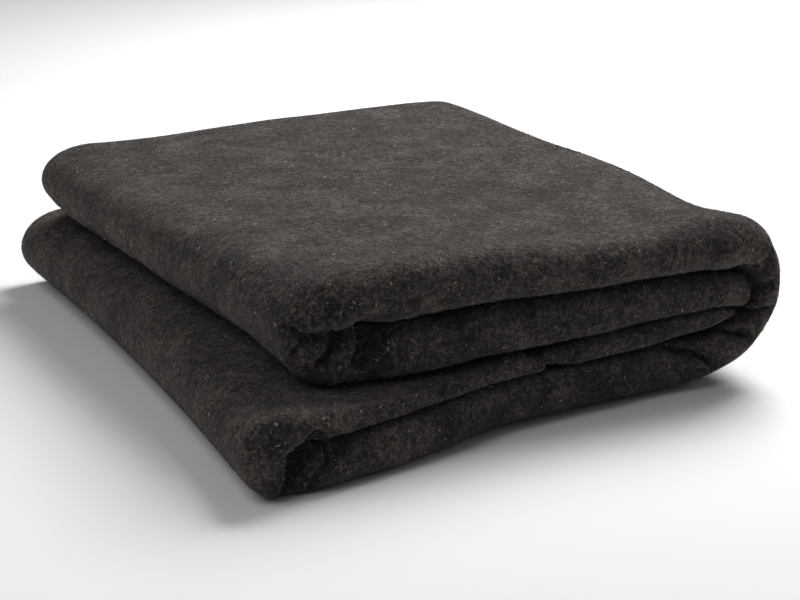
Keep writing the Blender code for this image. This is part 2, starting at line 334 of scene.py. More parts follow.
def flat_run(k, up, start, end, steps):
    """One band from x `start` to x `end`: places of the felt's middle surface and its thickness.

    Band 1, the lower flap, ends in the open, and the two inner plies go on past its outer ones.
    """
    t = np.asarray(steps, dtype=float)[:, None]
    x = start[None, :] + (end - start)[None, :] * t
    if k != 1:
        y, mid, reach, felt = seat(k, x)
        return x, y, mid + up * SIDE * reach, felt
    pair = np.isin(KIND, (INNER_PLY, INNER_FOLD))
    above = ease((x - along(UPPER_END, PLAIN) - FREE_ABOVE[0]) / FREE_ABOVE[1])
    below = ease((x - along(LOWER_END, PLAIN) - FREE_BELOW[0]) / FREE_BELOW[1])
    free = np.where(pair, np.where(SIDE > 0, above, below), 0.0)
    y, mid, reach, felt = seat(k, x, free)
    felt = felt + (np.minimum(PLY, SWELL * felt) - felt) * free
    return x, y, mid + SIDE * (1 + 2 * free) * reach, felt


print("lower flap ends", LOWER_END[0], "mm along the front and", LOWER_END[1], "mm at the back")


# %% Left turns
NOSE = {0: 26.0, 2: 17.0}      # how much further in the turn over that band closes at the front
NOSE_DEEP = 24                 # how far behind the front edge that dies away
FILL = 0.7                     # how far the cloth in the turn's corner is pressed out to the front
FILL_FADE = 0.7                # power by which that fades towards both ends of the turn
FILL_BEHIND = 2.5              # how far behind the front edge it is left
TURN_THIN = 0.12               # how much thinner the felt is in the turn
TURN_GUESS = 30.0              # a turn's length, to start from


def turn_ends(left, k):
    """Left turn over band k: each ply's tip, half height, length and middle, and both y."""
    w = PLAIN_LOW if k == 0 else PLAIN
    outer = along(left, w)
    bulge = TURN_LONG[0] + (TURN_LONG[1] - TURN_LONG[0]) * depth_share(w)
    nose = NOSE[k] * ease((-SIDE - 0.1) / 0.7) * np.exp(-(PLAIN / NOSE_DEEP) ** 2)
    start = outer + TURN_GUESS
    # A turn is as long as it is high where it starts, so a few rounds settle both
    for _ in range(4):
        y_low, low, reach_low, felt_low = seat(k, start)
        y_high, high, reach_high, felt_high = seat(k + 1, start)
        z_low = low - SIDE * reach_low
        z_high = high + SIDE * reach_high
        half = (z_high - z_low) / 2
        length = half * (1 + (bulge - 1) * ((SIDE + 1) / 2) ** 2)
        tip = outer + felt_low / 2 + (1 - SIDE) * (reach_low + reach_high) / 2 * (0.75 + 0.25 * bulge)
        tip = tip + nose
        start = tip + length
    return tip, half, length, (z_low + z_high) / 2, (y_low, y_high), (felt_low, felt_high)


def turn_start(left, k):
    """The x at which each ply leaves its flat run for the left turn over band k."""
    tip, _, length, *_ = turn_ends(left, k)
    return tip + length


def left_turn(left, k, angles):
    """The strip's turn at the left end of a slab: each ply on its own half ellipse, through the
    given angles, where 90 is the upper side."""
    tip, half, length, middle, y, felt = turn_ends(left, k)
    a = np.radians(np.asarray(angles, dtype=float))[:, None]
    x = tip + length - length * np.cos(a)
    z = middle + half * np.sin(a)
    share = (1 - np.sin(a)) / 2
    y = y[1] * (1 - share) + y[0] * share
    full = np.where((KIND == FRONT_FOLD) & (SIDE < 0), FILL * np.cos(a) ** FILL_FADE, 0.0)
    edge = curve(EDGE, EDGE_OF[k], x)
    y = y - np.maximum(y - edge - FILL_BEHIND, 0.0) * full
    felt = felt[1] * (1 - share) + felt[0] * share
    return x, y, z, felt * (1 - TURN_THIN * (1 - SIDE) * np.cos(a))


print("left turns at x", TOP_LEFT[0], "and", LOW_LEFT[0], "mm")


# %% The spine
SPINE_THICK = (19.0, 24.0)     # thickness of its four plies, at the front and further back
FRONT_ZONE = 90.0              # depth over which what is tighter at the front eases off


def spine(angles):
    """The outer band's turn at the right, from the bottom band up to the top band: a quarter of a
    rounded ellipse below the widest height, and another above it."""
    a = np.radians(np.asarray(angles, dtype=float))[:, None]
    right = along(SPINE, PLAIN)
    thick = SPINE_THICK[0] + (SPINE_THICK[1] - SPINE_THICK[0]) * ease(PLAIN / FRONT_ZONE)
    y_low, low, reach_low, felt_low = seat(0, right - SPINE_REACH[0])
    y_high, high, reach_high, felt_high = seat(3, right - SPINE_REACH[1])
    lower = a < 0
    c = np.cos(a)
    s = np.sin(a)
    half = np.where(lower, reach_low + felt_low / 2, reach_high + felt_high / 2)
    half = half + (thick / 2 - half) * c ** 2
    felt = np.minimum(PLY, PRESSED * half)
    reach = half - felt / 2
    inward = (1 - SIDE) * reach + felt / 2
    floor = low - reach_low - felt_low / 2
    top = high + reach_high + felt_high / 2
    rise = np.where(lower, SPINE_LOW - floor, top - SPINE_LOW)
    run = np.where(lower, SPINE_REACH[0], SPINE_REACH[1])
    x = right - run + (run - inward) * np.where(lower, c ** SPINE_ROUND[0], c ** SPINE_ROUND[1])
    z = SPINE_LOW + (rise - inward) * s
    share = ease((1 + s) / 2)
    return x, y_low * (1 - share) + y_high * share, z, np.broadcast_to(felt, x.shape)


print("spine at x", SPINE[0], "mm")


# %% The whole strip
def spread(count, at, tight, width=0.12):
    """`count` values from 0 to 1, closer together round `at`: the running sum of a density that
    rises there by `tight` over a bell of that width."""
    t = np.linspace(0, 1, 400)
    total = np.cumsum(1 + tight * np.exp(-((t - at) / width) ** 2))
    total = (total - total[0]) / (total[-1] - total[0])
    return np.interp(np.linspace(0, 1, count), total, t)


# Rows of points along a stretch: how many, where they lie closest, how tightly and how widely
ROWS = {
    "lower flap": (56, 0.42, 1.5),
    "bottom band": (60, 0.02, 6.0),
    "spine": (84, 0.12, 1.5, 0.15),
    "top band": (42, 1.0, 3.0),
    "upper flap": (48, 0.04, 5.0),
}
TURN_ROWS = 62
LIP = 6.0                      # how much further the lower flap goes in the middle of its front fold
INNER_TAPER = (4.0, 1.5)       # how much shorter the upper flap is at the back, and on its outer plies
LOOSE = 1.6                    # how much thicker the felt is in the open middle of the front fold


def flap_ends():
    """Ends of the lower and the upper flap on each ply. The lower one's outer plies end early and
    aslant, its inner pair goes on to the spine."""
    low = along(LOWER_END, PLAIN)
    high = along(UPPER_END, PLAIN)
    lower = low + (high - low) * ((SIDE + 1) / 2) ** 2 + LIP * (1 - SIDE ** 2) * (KIND == FRONT_FOLD)
    lower = np.where(KIND == BACK_FOLD, UPPER_END[1], lower)
    lower = np.where((KIND == INNER_PLY) & (SIDE > 0), along(PAIR_END, PLAIN), lower)
    lower = np.where((KIND == INNER_FOLD) | ((KIND == INNER_PLY) & (SIDE < 0)), PAIR_END[0], lower)
    upper = INNER_END - INNER_TAPER[0] * ease(PLAIN / FRONT_ZONE) - INNER_TAPER[1] * np.abs(SIDE)
    return lower, upper


def strip():
    """The whole strip: its middle surface (rows along the strip, columns round the section), the
    felt's thickness, and the name of the stretch that each row lies in."""
    low_start = turn_start(LOW_LEFT, 0)
    top_start = turn_start(TOP_LEFT, 2)
    flap_end, inner_end = flap_ends()
    right = along(SPINE, PLAIN)
    rows = {name: spread(*row) for name, row in ROWS.items()}
    turn = np.linspace(90, -90, TURN_ROWS)[:-1]
    # A stretch leaves out its last row, which is the next one's first
    parts = {
        "lower flap": flat_run(1, 1, flap_end, low_start, rows["lower flap"][:-1]),
        "lower turn": left_turn(LOW_LEFT, 0, turn),
        "bottom band": flat_run(0, -1, low_start, right - SPINE_REACH[0], rows["bottom band"][:-1]),
        "spine": spine(-90 + 180 * rows["spine"][:-1]),
        "top band": flat_run(3, 1, right - SPINE_REACH[1], top_start, rows["top band"][:-1]),
        "upper turn": left_turn(TOP_LEFT, 2, turn),
        "upper flap": flat_run(2, -1, top_start, inner_end, rows["upper flap"]),
    }
    x, y, z, felt = (np.concatenate([p[n] for p in parts.values()]) for n in range(4))
    stretch = np.concatenate([np.full(len(p[0]), name) for name, p in parts.items()])
    sharp = np.isin(KIND, (BACK_FOLD, INNER_FOLD)).astype(float)
    sharp = np.maximum(sharp, 0.5 * np.maximum(np.roll(sharp, 1), np.roll(sharp, -1)))
    felt = felt * (1 - (1 - AT_FOLD) * sharp)
    loose = np.where(KIND == FRONT_FOLD, np.cos(ANGLE) ** 2, 0.0)
    felt = felt + (np.minimum(PLY, LOOSE * felt) - felt) * loose
    return np.stack((x, y, z), axis=-1), felt, stretch


MIDDLE, FELT, STRETCH = strip()
print("grid of", MIDDLE.shape[0], "rows and", MIDDLE.shape[1], "columns")


# %% [markdown]
# Felt has thickness, so the sheet gets two faces, each half the thickness from its middle
# surface along the surface's own normal. Blender's Solidify would do the same, but it measures
# one thickness everywhere, while this felt is pressed thinner where the bands lie on each other.


# %% Both faces of the felt
def thicken(middle, felt):
    """Both faces of the felt, half its thickness to each side of its middle surface."""
    normal = np.cross(np.gradient(middle, axis=0), np.gradient(middle, axis=1))
    normal /= np.linalg.norm(normal, axis=-1, keepdims=True)
    off = normal * felt[..., None] / 2
    return middle + off, middle - off


FACE_A, FACE_B = thicken(MIDDLE, FELT)
print("felt from", round(float(FELT.min()), 1), "to", round(float(FELT.max()), 1), "mm thick")

# %% [markdown]
# A hand-folded blanket has creases that no rule gives: the gathered corner of the upper slab,
# the tuck in the lower slab's corner, and the buckles where the stack bends up into the spine.
# They could be sculpted, but a brush leaves nothing to read. Here each is a line drawn
# over the front, and the space round it is pushed back. Because the space moves with all that is
# in it, the plies behind follow, and no ply passes through another.

# %% Creases on the front
# Each crease: name, y of the surface there, how deep, how far it reaches to the left of its line
# and to the right of it, how far behind the surface it dies away, and its points (x, z)
CREASES = (
    ("upper corner lip", 3, 12.0, 7.0, 2.0, 22,
     ((53, 87), (49.6, 86.4), (45.6, 83.7), (40.9, 80.9), (36.9, 80.4), (32.3, 81.4),
      (27.7, 83.6), (22.4, 83.6), (18.5, 82.3), (15.2, 82.2), (12, 85), (8.1, 88.2), (3, 90.8),
      (-2, 92.5))),
    ("upper corner pleat", 3, 13.0, 12.0, 2.2, 24,
     ((49, 90), (51.2, 86), (52.3, 80.6), (52.3, 73), (49.5, 66), (46, 60.7), (41, 55))),
    ("upper corner pucker", 3, 7.0, 2.8, 2.8, 16,
     ((38.5, 83), (36.9, 80), (33.6, 76.2), (31.5, 72), (27.5, 68.4), (22, 65.5), (16, 62.5))),
    ("upper corner dimple", 3, 5.0, 2.8, 2.8, 14,
     ((17, 84), (14.5, 80), (13, 77), (9.5, 75.3), (3, 73))),
    ("lower corner tuck", -36, 15.0, 7.5, 2.2, 26,
     ((14, 33), (8.5, 34.2), (4.7, 36), (0.2, 36.8), (-3.7, 34), (-7.5, 31.1), (-12.7, 28.9),
      (-15.9, 26.3), (-17.2, 22.4), (-17.9, 17.6), (-19.3, 11.7), (-22.6, 6), (-27, 2))),
    ("lower corner valley", -36, 5.0, 2.2, 2.2, 14,
     ((5, 30), (7.5, 25.5), (7.6, 21), (6.2, 17.5), (2, 15), (-1.4, 11.5), (-4, 6.5), (-8, 3))),
    ("lower corner shade", -36, 6.0, 8.0, 2.2, 16,
     ((10.5, 31.5), (11.8, 29), (12.8, 26.5), (13.2, 23.5), (12.5, 19))),
    ("spine buckle low", 8, 14.0, 5.0, 2.0, 26,
     ((236, 33), (250, 35.5), (259.8, 35.9), (267.7, 34.6), (275.8, 31.6), (285.5, 27),
      (293.6, 24.8), (300.1, 23.3), (306, 19.5), (311.1, 15.2), (316, 9))),
    ("spine buckle high", 8, 12.0, 4.2, 1.8, 24,
     ((294, 39.5), (305.7, 41.1), (313, 39.3), (318.8, 37.7), (325.5, 35), (333.9, 32.3),
      (342.3, 30), (350, 29.3))),
    ("spine crease low", 8, 8.0, 2.4, 3.4, 20,
     ((330, 52), (332, 48.9), (334.9, 42.9), (338.5, 36.8), (344, 32.5))),
    ("spine crease middle", 8, 7.0, 2.4, 2.8, 18,
     ((336, 49), (341, 49), (347, 48.8), (352.6, 49.7), (361, 50))),
    ("spine crease high", 8, 6.0, 2.8, 2.4, 18,
     ((340, 58), (344.4, 62.4), (348.3, 65), (352.3, 67.5), (360, 69))),
    ("spine ear", 3, 5.0, 2.0, 6.0, 20,
     ((322, 78.6), (332, 79), (337, 79.3), (342, 80.4), (347.5, 82.6), (351, 86.8), (355, 92),
      (359, 98))),
)
CREASE_END = 0.22              # share of a crease's length over which it fades at each end
IN_FRONT = 14                  # how far before its surface a point may lie and still be pushed


def smooth_line(points, count=60):
    """A curve through a few points: each coordinate is a cubic in the distance along them."""
    points = np.array(points, dtype=float)
    run = np.concatenate(([0.0], np.cumsum(np.linalg.norm(np.diff(points, axis=0), axis=1))))
    at = np.linspace(0, run[-1], count)
    return np.stack([curve(np.column_stack((run, points[:, n])), 1, at) for n in range(2)], axis=-1)


def push_in(points, line, y, deep, left, right, behind):
    """How far each point goes back for one crease.

    The push is deep * exp(-(d / reach)^2) * exp(-(below / behind)^2), where d is the distance to
    the line in the x-z plane, reach depends on the line's side, and below is the depth under the
    surface. It fades towards the line's two ends.
    """
    line = smooth_line(line)
    near = (points[..., 1] < y + 3 * behind) & (points[..., 1] > y - IN_FRONT)
    far = 3 * max(left, right)
    for n, axis in enumerate((0, 2)):
        near &= points[..., axis] > line[:, n].min() - far
        near &= points[..., axis] < line[:, n].max() + far
    flat = points[near][:, (0, 2)]
    away = flat[:, None, :] - line[None, :, :]
    squared = (away ** 2).sum(axis=-1)
    nearest = squared.argmin(axis=1)
    rows = np.arange(len(flat))
    step = np.gradient(line, axis=0)[nearest]
    aside = away[rows, nearest]
    turn = step[:, 0] * aside[:, 1] - step[:, 1] * aside[:, 0]
    reach = np.where(turn > 0, left, right)
    share = nearest / (len(line) - 1)
    fade = ease(share / CREASE_END) * ease((1 - share) / CREASE_END)
    below = np.maximum(points[near][:, 1] - y, 0.0)
    beside = np.exp(-squared[rows, nearest] / reach ** 2)
    push = np.zeros(points.shape[:-1])
    push[near] = deep * fade * beside * np.exp(-(below / behind) ** 2)
    return push


def press_creases(points):
    """The points after every crease has pushed them back.

    The spine buckles round the two flaps that end inside it, so its creases leave them in place.
    """
    points = points.copy()
    flaps = np.isin(STRETCH, ("lower flap", "upper flap"))
    for name, y, deep, left, right, behind, line in CREASES:
        push = push_in(points, line, y, deep, left, right, behind)
        if name.startswith("spine"):
            push[flaps] = 0.0
        points[..., 1] += push
    return points


FACE_A = press_creases(FACE_A)
FACE_B = press_creases(FACE_B)
print("creases:", ", ".join(c[0] for c in CREASES))

# %% [markdown]
# No ply of thick felt lies quite flat. Slow waves, a few centimetres to a hand wide, lift the top
# and push the front edges in and out. They too move the whole space, so the plies stay apart.


# %% Soft waves
def waves(points, size, seed, count=9):
    """Smooth random values about -1.5 to 1.5: a sum of `count` sine waves over space, each with a
    random direction and phase and a length near `size` millimetres."""
    rng = np.random.default_rng(seed)
    ways = rng.normal(size=(count, 3))
    ways /= np.linalg.norm(ways, axis=1, keepdims=True)
    ways *= 2 * np.pi / (size * rng.uniform(0.7, 1.5, count))[:, None]
    return np.sin(points @ ways.T + rng.uniform(0, 6.28, count)).sum(axis=-1) / math.sqrt(count / 2)


# Slow waves: how far they move the cloth, how long they are, and their seed
LIFTS = ((0.8, 150, 3), (0.15, 60, 4))         # up and down
BULGES = ((0.8, 90, 5), (0.5, 30, 6))          # in and out at the front
# Slumps of the whole stack: x, y, reach along x and y, and how far the top comes down there
SLUMPS = (
    (342, 72, 36, 60, 6.5),
    (30, 400, 75, 90, 5.0),
    (-12, 480, 60, 45, -9.0),
)
LOW_SLAB = (30, 60)            # heights between which the lower slab's front gives way to the upper's
BULGE_DEEP = 40                # how far behind the front the bulges die away
FULL_HEIGHT = 100              # height from which the lifts have their full size


def soften(points):
    """The points after the waves: up and down by their height in the stack, in and out in front."""
    level = points * (1.0, 1.0, 0.0)
    face = points * (1.0, 0.0, 1.0)
    up = sum(far * waves(level, size, seed) for far, size, seed in LIFTS)
    for x, y, wide, long, down in SLUMPS:
        up = up - down * np.exp(-((points[..., 0] - x) / wide) ** 2 - ((points[..., 1] - y) / long) ** 2)
    upper = ease((points[..., 2] - LOW_SLAB[0]) / (LOW_SLAB[1] - LOW_SLAB[0]))
    front = curve(EDGE, 1, points[..., 0]) * (1 - upper)
    behind = np.exp(-(np.maximum(points[..., 1] - front, 0.0) / BULGE_DEEP) ** 2)
    back = sum(far * waves(face, size, seed) for far, size, seed in BULGES) * behind
    moved = points.copy()
    moved[..., 1] += back
    moved[..., 2] = np.maximum(moved[..., 2] + up * np.clip(moved[..., 2] / FULL_HEIGHT, 0, 1), 0.0)
    return moved


FACE_A = soften(FACE_A)
FACE_B = soften(FACE_B)
print("highest point", round(float(max(FACE_A[..., 2].max(), FACE_B[..., 2].max())), 1), "mm")


# %% [markdown]
# Two arrays of points become one closed sheet: a grid of quads for each face, and a rim that
# joins their borders. Blender's own grid and bridge tools make such meshes too, but filling the
# mesh's arrays at once is quicker, and each quad's place in the strip stays known for the nap.

# %% Make the mesh
SHARP = math.radians(55)       # edges bent more than this stay sharp
FACES_APART = 2.0              # metres between the two faces' patches in the UV map


def grid_mesh(name, face_a, face_b):
    """A closed sheet: a grid of quads for each face, and a rim of quads that joins their borders.

    Its UV map runs along the strip and across it, in metres of cloth.
    """
    rows, cols = face_a.shape[:2]
    points = np.concatenate((face_a.reshape(-1, 3), face_b.reshape(-1, 3)))
    a = np.arange(rows * cols).reshape(rows, cols)
    b = a + rows * cols
    quads_a = np.stack((a[:-1, :-1], a[1:, :-1], a[1:, 1:], a[:-1, 1:]), axis=-1).reshape(-1, 4)
    quads_b = np.stack((b[:-1, :-1], b[:-1, 1:], b[1:, 1:], b[1:, :-1]), axis=-1).reshape(-1, 4)
    rim = np.concatenate((a[:-1, 0], a[-1, :-1], a[:0:-1, -1], a[0, :0:-1]))
    after = np.roll(rim, -1)
    shift = rows * cols
    sides = np.stack((rim, rim + shift, after + shift, after), axis=-1)
    quads = np.concatenate((quads_a, quads_b, sides))
    mesh = bpy.data.meshes.new(name)
    mesh.vertices.add(len(points))
    mesh.vertices.foreach_set("co", to_part(points).astype(np.float32).ravel())
    mesh.loops.add(quads.size)
    mesh.loops.foreach_set("vertex_index", quads.astype(np.int32).ravel())
    mesh.polygons.add(len(quads))
    mesh.polygons.foreach_set("loop_start", np.arange(0, quads.size, 4, dtype=np.int32))
    middle = (face_a + face_b) / 2
    u = np.cumsum(np.linalg.norm(np.diff(middle, axis=0, prepend=middle[:1]), axis=-1), axis=0)
    v = np.cumsum(np.linalg.norm(np.diff(middle, axis=1, prepend=middle[:, :1]), axis=-1), axis=1)
    place = np.stack((u.ravel(), v.ravel()), axis=-1) * MM
    place = np.concatenate((place, place + (0.0, FACES_APART)))
    layer = mesh.uv_layers.new(name="cloth")
    layer.uv.foreach_set("vector", place[quads.ravel()].astype(np.float32).ravel())
    mesh.update(calc_edges=True)
    mesh.validate()
    mesh.shade_smooth()
    mesh.set_sharp_from_angle(angle=SHARP)
    obj = bpy.data.objects.new(name, mesh)
    bpy.context.scene.collection.objects.link(obj)
    return obj


blanket_cloth = grid_mesh("blanket_cloth", FACE_A, FACE_B)
print("triangles in the cloth:", sum(len(p.vertices) - 2 for p in blanket_cloth.data.polygons))

# %% [markdown]
# Reclaimed wool felt is a mat of dark fibres with lighter ones strewn through it. Up close it
# has three scales: clouds a few centimetres wide where more light wool fell, a grain of matted
# fibres one to four millimetres wide, and pale fibres two to three millimetres long.
# The noise and the strewn fibres are two small node groups that put out masks, and the material
# mixes its colours by them. A photographed cloth would be quicker, but it would bring its light
# with it and would not know where this cloth is folded.

# %% Helpers for node groups
def new_group(name, inputs, outputs):
    """An empty shader node group: inputs are (name, kind, default), outputs are (name, kind)."""
    tree = bpy.data.node_groups.new(name, "ShaderNodeTree")
    for label, kind, value in inputs:
        socket = tree.interface.new_socket(label, in_out="INPUT", socket_type=kind)
        if value is not None:
            socket.default_value = value
    for label, kind in outputs:
        tree.interface.new_socket(label, in_out="OUTPUT", socket_type=kind)
    start = tree.nodes.new("NodeGroupInput")
    end = tree.nodes.new("NodeGroupOutput")
    return tree, start, end


def maths(tree, operation, *values):
    """A Math node whose inputs are numbers or sockets; returns its output."""
    node = tree.nodes.new("ShaderNodeMath")
    node.operation = operation
    for n, value in enumerate(values):
        if isinstance(value, (int, float)):
            node.inputs[n].default_value = value
        else:
            tree.links.new(value, node.inputs[n])
    return node.outputs[0]


def add_up(tree, values):
    """The sum of several sockets, by a chain of Math nodes."""
    total = values[0]
    for value in values[1:]:
        total = maths(tree, "ADD", total, value)
    return total


def remap(tree, value, low, high, smooth=False):
    """A Map Range node that takes low..high to 0..1, clamped; smooth eases both ends."""
    node = tree.nodes.new("ShaderNodeMapRange")
    node.interpolation_type = "SMOOTHSTEP" if smooth else "LINEAR"
    tree.links.new(value, node.inputs["Value"])
    node.inputs["From Min"].default_value = low
    node.inputs["From Max"].default_value = high
    return node.outputs["Result"]


print("helpers for node groups are ready")


# %% Group: matted grain
def make_grain_group():
    """Noise over a place in metres, at three scales: clouds of lighter wool, the grain of the
    matted fibres, and a grain three times as fine. Each has its size as 1 / scale."""
    tree, start, end = new_group(
        "matted grain",
        [("Place", "NodeSocketVector", None), ("Cloud Size", "NodeSocketFloat", 0.03),
         ("Grain Size", "NodeSocketFloat", 0.0012)],
        [("Clouds", "NodeSocketFloat"), ("Grain", "NodeSocketFloat"), ("Fine", "NodeSocketFloat")],
    )
    for out, size, finer, detail, rough in (
        ("Clouds", "Cloud Size", 1.0, 4.0, 0.7),
        ("Grain", "Grain Size", 1.0, 3.5, 0.9),
        ("Fine", "Grain Size", 3.0, 1.0, 0.5),
    ):
        noise = tree.nodes.new("ShaderNodeTexNoise")
        noise.inputs["Detail"].default_value = detail
        noise.inputs["Roughness"].default_value = rough
        tree.links.new(start.outputs["Place"], noise.inputs["Vector"])
        tree.links.new(maths(tree, "DIVIDE", finer, start.outputs[size]), noise.inputs["Scale"])
        tree.links.new(noise.outputs["Fac"], end.inputs[out])
    return tree


GRAIN = make_grain_group()
print("group:", GRAIN.name)


# %% Group: stray fibres
FULL_TURN = 6.2832             # in radians
FIBRE_BEND = 1.5               # how far a fibre's ends bend aside, in half widths
FIBRE_EDGE = 0.35              # inside this the mask is full


def make_fibre_group():
    """Short fibres strewn over the cloth, one in some cells of a Voronoi pattern.

    In each cell the way from its centre is turned by random angles and divided by the fibre's half
    length and half width, after its side step has lost a parabola, which bends the fibre. The mask
    rises where the sum of the three squares falls below 1.
    """
    tree, start, end = new_group(
        "stray fibres",
        [("Place", "NodeSocketVector", None), ("Cell", "NodeSocketFloat", 0.005),
         ("Length", "NodeSocketFloat", 0.002), ("Width", "NodeSocketFloat", 0.0003),
         ("Share", "NodeSocketFloat", 0.5)],
        [("Mask", "NodeSocketFloat"), ("Tone", "NodeSocketFloat")],
    )
    cells = tree.nodes.new("ShaderNodeTexVoronoi")
    tree.links.new(start.outputs["Place"], cells.inputs["Vector"])
    tree.links.new(maths(tree, "DIVIDE", 1.0, start.outputs["Cell"]), cells.inputs["Scale"])
    away = tree.nodes.new("ShaderNodeVectorMath")
    away.operation = "SUBTRACT"
    tree.links.new(start.outputs["Place"], away.inputs[0])
    tree.links.new(cells.outputs["Position"], away.inputs[1])
    random = tree.nodes.new("ShaderNodeSeparateColor")
    tree.links.new(cells.outputs["Color"], random.inputs["Color"])
    turn = tree.nodes.new("ShaderNodeVectorRotate")
    turn.rotation_type = "EULER_XYZ"
    angles = tree.nodes.new("ShaderNodeCombineXYZ")
    for n in range(3):
        tree.links.new(maths(tree, "MULTIPLY", random.outputs[n], FULL_TURN), angles.inputs[n])
    tree.links.new(away.outputs[0], turn.inputs["Vector"])
    tree.links.new(angles.outputs[0], turn.inputs["Rotation"])
    parts = tree.nodes.new("ShaderNodeSeparateXYZ")
    tree.links.new(turn.outputs[0], parts.inputs[0])
    run = maths(tree, "DIVIDE", parts.outputs["X"], start.outputs["Length"])
    bent = maths(tree, "MULTIPLY", maths(tree, "MULTIPLY", run, run), start.outputs["Width"])
    aside = maths(tree, "SUBTRACT", parts.outputs["Y"], maths(tree, "MULTIPLY", bent, FIBRE_BEND))
    across = maths(tree, "DIVIDE", aside, start.outputs["Width"])
    deep = maths(tree, "DIVIDE", parts.outputs["Z"], start.outputs["Length"])
    total = add_up(tree, [maths(tree, "MULTIPLY", way, way) for way in (run, across, deep)])
    body = remap(tree, total, 1.0, FIBRE_EDGE, smooth=True)
    kept = maths(tree, "LESS_THAN", random.outputs[2], start.outputs["Share"])
    tree.links.new(maths(tree, "MULTIPLY", body, kept), end.inputs["Mask"])
    tree.links.new(random.outputs[1], end.inputs["Tone"])
    return tree


FIBRES = make_fibre_group()
print("group:", FIBRES.name)


# %% Felt material
def use_group(tree, group, **values):
    """A group node with its inputs set: numbers by value, sockets by a link."""
    node = tree.nodes.new("ShaderNodeGroup")
    node.node_tree = group
    for label, value in values.items():
        socket = node.inputs[label.replace("_", " ")]
        if isinstance(value, (int, float)):
            socket.default_value = value
        else:
            tree.links.new(value, socket)
    return node


def blend_colour(tree, share, low, high):
    """A Mix node from one colour to another by a share; colours are triples or sockets."""
    node = tree.nodes.new("ShaderNodeMix")
    node.data_type = "RGBA"
    for socket, value in ((node.inputs[0], share), (node.inputs[6], low), (node.inputs[7], high)):
        if isinstance(value, tuple):
            socket.default_value = (*value, 1.0)
        else:
            tree.links.new(value, socket)
    return node.outputs[2]


DARK_WOOL = (0.0102, 0.0089, 0.0083)
GREY_WOOL = (0.125, 0.109, 0.101)
PALE_WOOL = (0.50, 0.45, 0.41)
# Each scale of the noise: the values between which it goes from dark to grey, its share in the
# colour, and its share in the bump
SCALES = (
    ("Grain", 0.41, 0.59, 0.5, 1.0),
    ("Fine", 0.32, 0.68, 0.25, 0.6),
    ("Clouds", 0.36, 0.64, 0.35, 3.0),
)
CLOUD_SIZE = 0.03              # metres
GRAIN_SIZE = 0.0036            # metres
MORE_DARK = 2.2                # power that leaves more of the felt dark
BUMP = 0.0013                  # metres
# Two sorts of stray fibre: cell, half length and half width in metres, share of the cells that
# hold one, and how pale the palest are
STRAY = ((0.0036, 0.0011, 0.00026, 0.6, 0.55), (0.011, 0.0016, 0.00055, 0.45, 0.95))


def felt_material():
    """Charcoal felt: dark wool clouded and grained with grey, pale stray fibres, a fine bump, and
    a faint sheen from the fibre ends."""
    material = bpy.data.materials.new("charcoal felt")
    material.use_nodes = True
    tree = material.node_tree
    shader = tree.nodes["Principled BSDF"]
    where = tree.nodes.new("ShaderNodeTexCoord").outputs["Object"]
    grain = use_group(tree, GRAIN, Place=where, Cloud_Size=CLOUD_SIZE, Grain_Size=GRAIN_SIZE)
    light = [maths(tree, "MULTIPLY", remap(tree, grain.outputs[scale], low, high), share)
             for scale, low, high, share, _ in SCALES]
    mix = maths(tree, "POWER", add_up(tree, light), MORE_DARK)
    colour = blend_colour(tree, mix, DARK_WOOL, GREY_WOOL)
    for cell, length, width, share, most in STRAY:
        strewn = use_group(tree, FIBRES, Place=where, Cell=cell, Length=length, Width=width, Share=share)
        tone = maths(tree, "MULTIPLY", maths(tree, "POWER", strewn.outputs["Tone"], 2.0), most)
        shown = maths(tree, "MULTIPLY", strewn.outputs["Mask"], tone)
        colour = blend_colour(tree, shown, colour, PALE_WOOL)
    tree.links.new(colour, shader.inputs["Base Color"])
    shader.inputs["Roughness"].default_value = 0.95
    shader.inputs["Specular IOR Level"].default_value = 0.15
    shader.inputs["Sheen Weight"].default_value = 0.15
    shader.inputs["Sheen Roughness"].default_value = 0.45
    shader.inputs["Sheen Tint"].default_value = (0.9, 0.83, 0.78, 1.0)
    bump = tree.nodes.new("ShaderNodeBump")
    bump.inputs["Strength"].default_value = 1.0
    bump.inputs["Distance"].default_value = BUMP
    rise = [maths(tree, "MULTIPLY", grain.outputs[scale], share) for scale, _, _, _, share in SCALES]
    tree.links.new(add_up(tree, rise), bump.inputs["Height"])
    tree.links.new(bump.outputs["Normal"], shader.inputs["Normal"])
    return material


FELT_FINISH = felt_material()
blanket_cloth.data.materials.append(FELT_FINISH)
print("material:", FELT_FINISH.name)

# %% [markdown]
# Handled felt is never bare. Short ends of wool stand out of it, and pale threads of the rags it
# was made from lie on it as small curls. Seen from low down they soften every edge and break up
# the surface, which no bump can do. Blender's own hair system would comb them, but it doesn't
# travel with a part. Here each hair is a pyramid of four triangles, so that a hundred and eighty
# thousand of them stay light. They grow only where the stack is open to view or touch.

# %% Where the nap grows
TOP, LEFT, FRONT_FOLDS, SPINE_AND_BACK = range(4)      # zones
LEDGE = (45, 14)               # the lower slab stands out left of this x, and in front of this y


